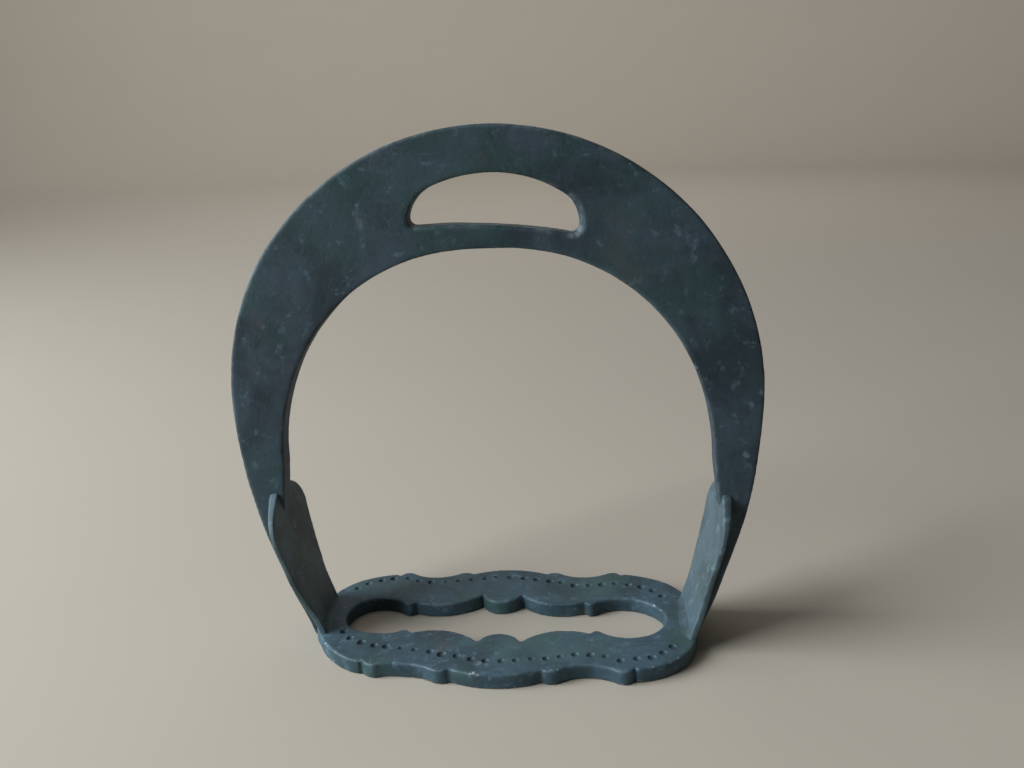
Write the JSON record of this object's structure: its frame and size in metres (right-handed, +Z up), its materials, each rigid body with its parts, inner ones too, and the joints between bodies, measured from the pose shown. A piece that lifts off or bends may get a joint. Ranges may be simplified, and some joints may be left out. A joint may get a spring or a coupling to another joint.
{
  "type": "stirrup iron",
  "caption": "Patinated bronze stirrup iron: flat crescent bow with a half-moon leather slot, leaf-shaped cheeks and a pierced, scalloped tread with a punched border.",
  "frame": {"origin": "on the ground, under the middle of the tread", "axes": "+X across the foot from the left cheek to the right cheek, -Y to the front, +Z up towards the leather slot"},
  "size_m": [0.132, 0.0544, 0.1315],
  "materials": {
    "bow_bronze": "dark blue-green patina, softly worn edges",
    "cheek_bronze": "blue-grey patina, rubbed by the boot",
    "tread_bronze": "blue-grey patina with punched pits and bright worn corners",
    "braze_metal": "blue-green patina, filed smooth"
  },
  "bodies": {
    "root": {"bow": "bow_bronze", "left_cheek": "cheek_bronze", "right_cheek": "cheek_bronze", "tread": "tread_bronze", "left_braze": "braze_metal", "right_braze": "braze_metal"}
  },
  "joints": []
}
